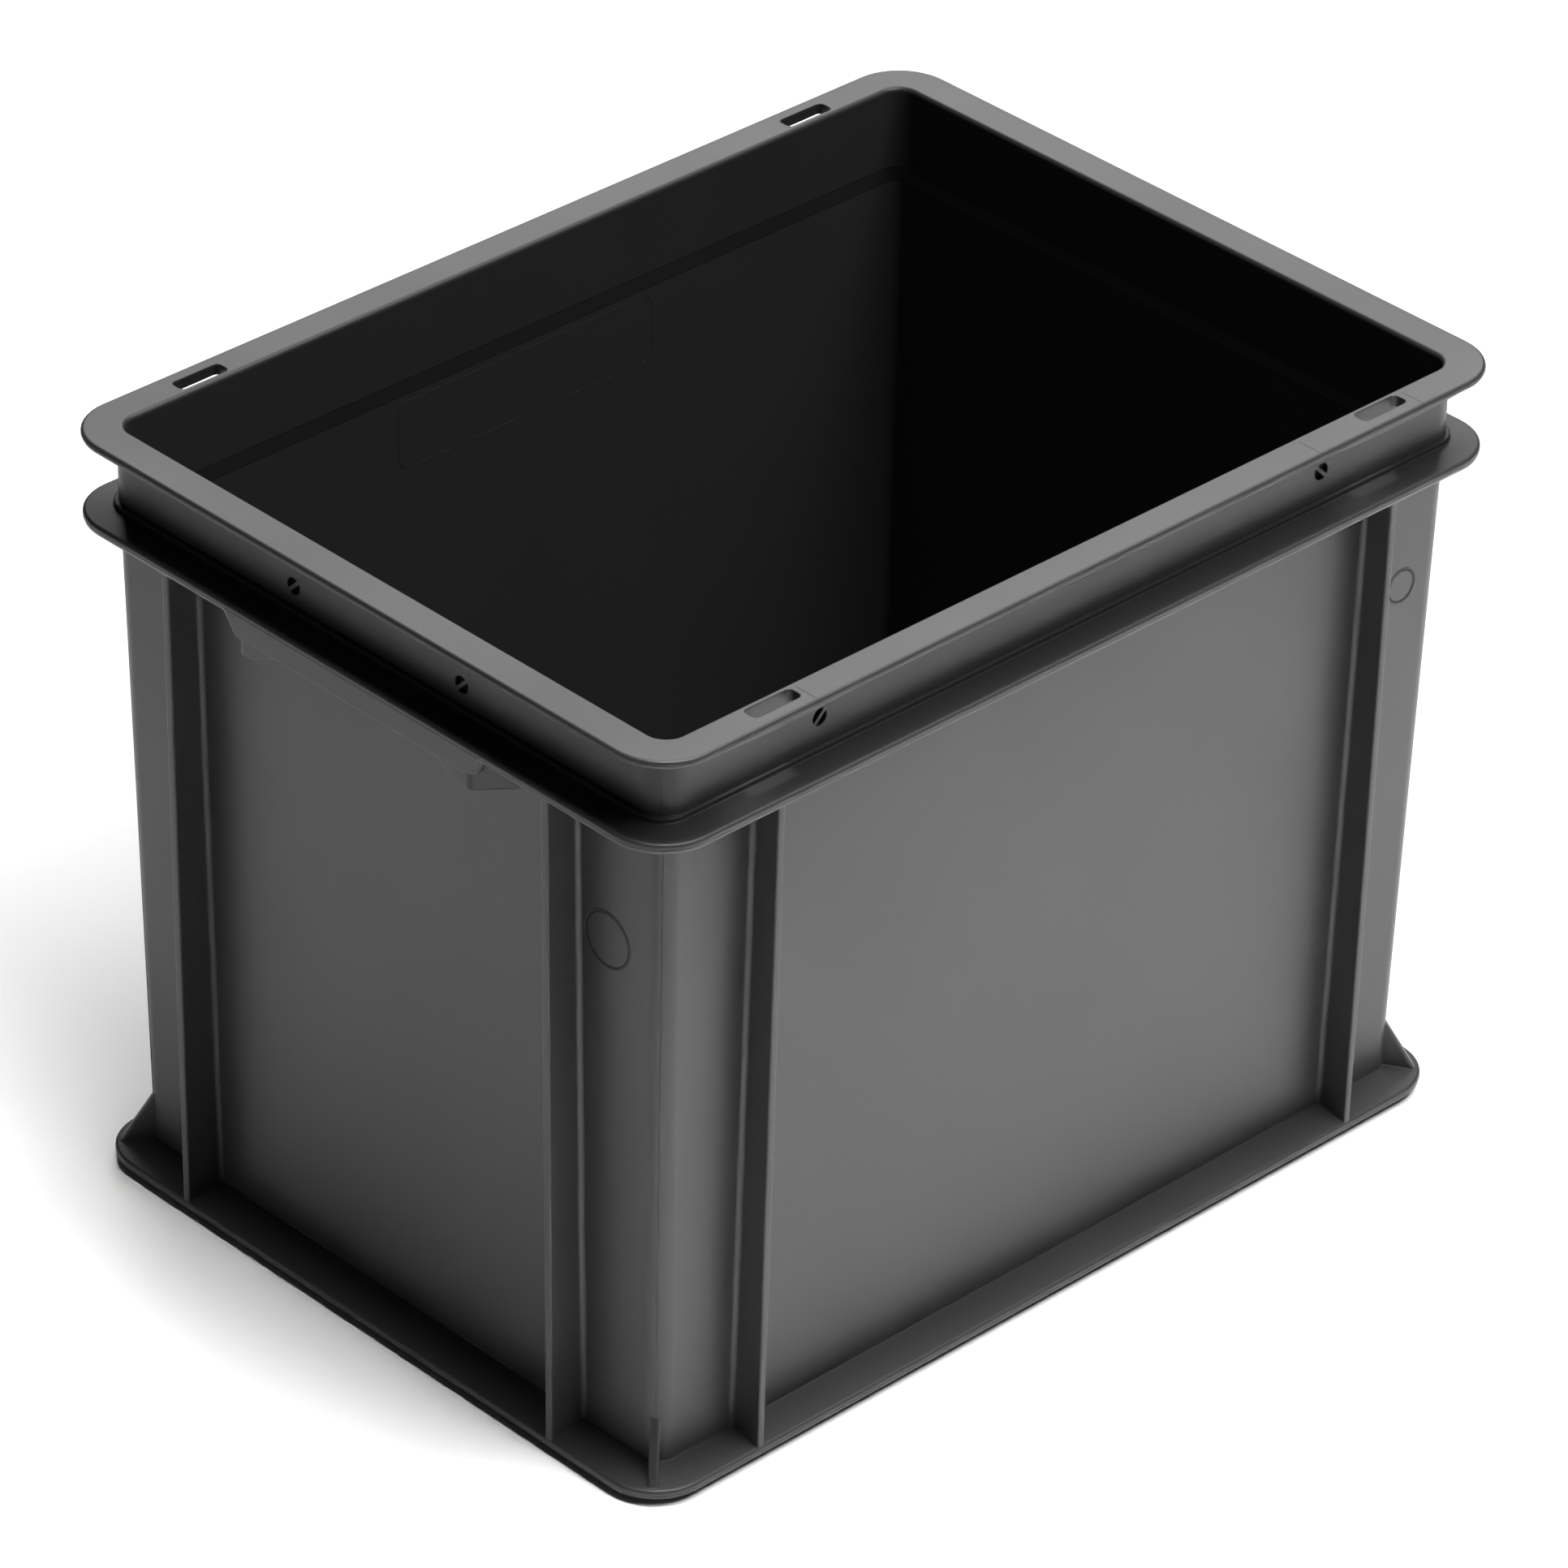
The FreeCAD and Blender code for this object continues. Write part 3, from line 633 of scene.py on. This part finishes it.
class CONTAINER_OT_grip_edges(bpy.types.Operator):
    """Round the low edges of the grips at both ends, which catch the light"""

    bl_idname = "container.grip_edges"
    bl_label = "Add grip edges"

    # The straight low edge of the lip, as height, start and end by |y|, and where its folded
    # end stops.
    LIP_LOW = 257.8
    LIP_STRAIGHT = (30.0, 50.0)
    LIP_HALF = 57.0
    LIP_FOLD_END = 63.5
    # Where the search for an edge starts, below the lip and below the band, and where it ends.
    LIP_BELOW = 257.0
    BAND_BELOW = 248.0
    TOP = 264.5
    BAND_HALF = 66.0
    # Steps along Y and up, and how far the outside steps out at an edge.
    STRIDE = 0.75
    RISE = 0.1
    JUMP = 0.7
    SPACING = 2.0

    def execute(self, context):
        surface = shell_surface()
        inset = context.scene.container_finish.edge_bead_radius
        paths = []
        for side_x in (1, -1):
            count = round(self.BAND_HALF / self.STRIDE)
            places = [step * self.STRIDE for step in range(-count, count + 1)]
            paths += self.runs(surface, side_x, places, self.BAND_BELOW, inset)
            paths += [self.lip_end(surface, side_x, side_y, inset) for side_y in (1, -1)]
        mesh = path_mesh("grip_edges", paths, False)
        values = (("Bead radius", inset), ("Spacing", self.SPACING * MM))
        grow("grip_edges", mesh, bead_graph(), values, shell_material())
        return {"FINISHED"}

    def lip_end(self, surface, side_x, side_y, inset):
        """The low edge of the lip from its straight part round its folded end."""
        x = side_x * (HALF_LENGTH * MM - inset)
        z = self.LIP_LOW * MM + inset
        straight = [Vector((x, side_y * y * MM, z)) for y in self.LIP_STRAIGHT]
        fold = self.LIP_FOLD_END - self.LIP_HALF
        places = [
            side_y * (self.LIP_HALF + step * self.STRIDE)
            for step in range(round(fold / self.STRIDE))
        ]
        runs = self.runs(surface, side_x, places, self.LIP_BELOW, inset)
        return straight + (runs[0] if runs else [])

    def runs(self, surface, side_x, places, below, inset):
        """Unbroken runs of edge points over these places along Y."""
        runs, run = [], []
        for y in places:
            point = self.edge(surface, side_x, y, below, inset)
            if point is not None:
                run.append(point)
            elif run:
                runs.append(run)
                run = []
        if run:
            runs.append(run)
        return [points for points in runs if len(points) > 1]

    def edge(self, surface, side_x, y, below, inset):
        """Where the outside first steps outwards, going up from below."""
        last = None
        for step in range(round((self.TOP - below) / self.RISE)):
            z = below + step * self.RISE
            point = meet(surface, (side_x * OUTSIDE, y, z), (-side_x, 0, 0))
            out = abs(point.x)
            if last is not None and out - last > self.JUMP * MM:
                return Vector((side_x * (out - inset), point.y, point.z + inset))
            last = out
        return None


class CONTAINER_OT_roundels(bpy.types.Operator):
    """Outline the blank round insert marks on the corner posts"""

    bl_idname = "container.roundels"
    bl_label = "Add round insert marks"

    STEPS = 48
    SPACING = 1.5

    def execute(self, context):
        surface = shell_surface()
        paths = [
            [meet(surface, (-OUTSIDE, y, z), (1, 0, 0)) for y, z in self.circle(*END_ROUNDEL)],
            [meet(surface, (x, -OUTSIDE, z), (0, 1, 0)) for x, z in self.circle(*SIDE_ROUNDEL)],
        ]
        mesh = path_mesh("round_insert_marks", paths, True)
        radius = context.scene.container_finish.bead_radius
        values = (("Bead radius", radius), ("Spacing", self.SPACING * MM))
        grow("round_insert_marks", mesh, bead_graph(), values, shell_material())
        return {"FINISHED"}

    def circle(self, along, height, radius):
        for step in range(self.STEPS):
            angle = 2 * math.pi * step / self.STEPS
            yield along + radius * math.cos(angle), height + radius * math.sin(angle)


class CONTAINER_OT_witness(bpy.types.Operator):
    """Outline the faint insert of the mould inside the back wall"""

    bl_idname = "container.witness"
    bl_label = "Add inner witness line"

    LOW = (-59.0, 233.0)
    HIGH = (62.0, 259.5)
    CORNER = 5.0
    CORNER_STEPS = 6
    THINNER = 0.6
    SPACING = 1.5

    def execute(self, context):
        surface = shell_surface()
        path = [meet(surface, (x, 0.0, z), (0, 1, 0)) for x, z in self.outline()]
        mesh = path_mesh("inner_witness", [path], True)
        radius = context.scene.container_finish.bead_radius
        values = (("Bead radius", radius * self.THINNER), ("Spacing", self.SPACING * MM))
        grow("inner_witness", mesh, bead_graph(), values, shell_material())
        return {"FINISHED"}

    def outline(self):
        """Points of a rounded rectangle in X and Z."""
        (low_x, low_z), (high_x, high_z) = self.LOW, self.HIGH
        corners = (
            (high_x - self.CORNER, high_z - self.CORNER, 0),
            (low_x + self.CORNER, high_z - self.CORNER, 90),
            (low_x + self.CORNER, low_z + self.CORNER, 180),
            (high_x - self.CORNER, low_z + self.CORNER, 270),
        )
        for x, z, start in corners:
            for step in range(self.CORNER_STEPS + 1):
                angle = math.radians(start + 90 * step / self.CORNER_STEPS)
                yield x + self.CORNER * math.cos(angle), z + self.CORNER * math.sin(angle)


class CONTAINER_OT_dots(bpy.types.Operator):
    """Set the small ejector dots on the second flange at both ends"""

    bl_idname = "container.dots"
    bl_label = "Add ejector dots"

    def execute(self, context):
        surface = shell_surface()
        points = []
        for side_x in (1, -1):
            for y in DOT_Y:
                points.append(meet(surface, (side_x * DOT_X, y, DOT_ABOVE), (0, 0, -1)))
        mesh = path_mesh("ejector_dots", [[point] for point in points], False)
        values = (("Dot radius", DOT_RADIUS * MM), ("Flatness", (1.0, 1.0, DOT_FLATNESS)))
        grow("ejector_dots", mesh, dot_graph(), values, shell_material())
        return {"FINISHED"}


def add_area_light(name, power, location, target, size, spread):
    light = bpy.data.lights.new(name, "AREA")
    light.shape = "RECTANGLE"
    light.size, light.size_y = size
    light.energy = power
    light.spread = math.radians(spread)
    item = bpy.data.objects.new(name, light)
    item.location = location
    way = Vector(target) - Vector(location)
    item.rotation_euler = way.to_track_quat("-Z", "Y").to_euler()
    bpy.context.collection.objects.link(item)


def add_camera(settings):
    azimuth, elevation = settings.azimuth, settings.elevation
    back = Vector(
        (
            math.sin(azimuth) * math.cos(elevation),
            -math.cos(azimuth) * math.cos(elevation),
            math.sin(elevation),
        )
    )
    level = Vector((math.cos(azimuth), math.sin(azimuth), 0.0))
    upright = back.cross(level)
    cosine, sine = math.cos(settings.roll), math.sin(settings.roll)
    right = level * cosine + upright * sine
    up = upright * cosine - level * sine
    data = bpy.data.cameras.new("studio_camera")
    data.lens = settings.lens
    data.sensor_width = SENSOR_WIDTH
    data.clip_start, data.clip_end = CLIP
    camera = bpy.data.objects.new("studio_camera", data)
    turn = Matrix((right, up, back)).transposed().to_4x4()
    camera.matrix_world = (
        Matrix.Translation(Vector(settings.aim) + back * settings.distance) @ turn
    )
    bpy.context.collection.objects.link(camera)
    bpy.context.scene.camera = camera


class CONTAINER_OT_studio(bpy.types.Operator):
    """Set up the floor, the soft lights and the camera"""

    bl_idname = "container.studio"
    bl_label = "Build studio"

    def execute(self, context):
        settings = context.scene.container_studio
        bpy.ops.mesh.primitive_plane_add(size=FLOOR_SIZE)
        floor = context.object
        floor.name = "studio_floor"
        graph = ShaderGraph("studio_floor")
        graph.feed(graph.shader.inputs["Base Color"], (*settings.floor_color, 1.0))
        graph.feed(graph.shader.inputs["Roughness"], FLOOR_ROUGHNESS)
        floor.data.materials.append(graph.material)
        for name, light in LIGHTS.items():
            add_area_light(name + "_light", getattr(settings, name + "_power"), *light)
        world = bpy.data.worlds.new("studio_air")
        world.use_nodes = True
        background = world.node_tree.nodes["Background"]
        background.inputs["Color"].default_value = (1.0, 1.0, 1.0, 1.0)
        background.inputs["Strength"].default_value = settings.air
        context.scene.world = world
        context.scene.view_settings.view_transform = "Standard"
        add_camera(settings)
        return {"FINISHED"}


class CONTAINER_PT_finish(bpy.types.Panel):
    bl_label = "Stacking container"
    bl_space_type = "VIEW_3D"
    bl_region_type = "UI"
    bl_category = "Container"

    def draw(self, context):
        layout = self.layout
        for settings in (context.scene.container_finish, context.scene.container_studio):
            for name in settings.__annotations__:
                layout.prop(settings, name)
        for operator in OPERATORS:
            layout.operator(operator.bl_idname)


OPERATORS = (
    CONTAINER_OT_shell,
    CONTAINER_OT_seams,
    CONTAINER_OT_grip_edges,
    CONTAINER_OT_roundels,
    CONTAINER_OT_witness,
    CONTAINER_OT_dots,
    CONTAINER_OT_studio,
)
CLASSES = (FinishSettings, StudioSettings, *OPERATORS, CONTAINER_PT_finish)


def register():
    for item in CLASSES:
        bpy.utils.register_class(item)
    bpy.types.Scene.container_finish = bpy.props.PointerProperty(type=FinishSettings)
    bpy.types.Scene.container_studio = bpy.props.PointerProperty(type=StudioSettings)


def unregister():
    del bpy.types.Scene.container_studio
    del bpy.types.Scene.container_finish
    for item in reversed(CLASSES):
        bpy.utils.unregister_class(item)


def main():
    register()
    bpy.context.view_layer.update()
    bpy.ops.container.shell()
    bpy.ops.container.seams()
    bpy.ops.container.grip_edges()
    bpy.ops.container.roundels()
    bpy.ops.container.witness()
    bpy.ops.container.dots()
    bpy.ops.container.studio()


if __name__ == "__main__":
    main()
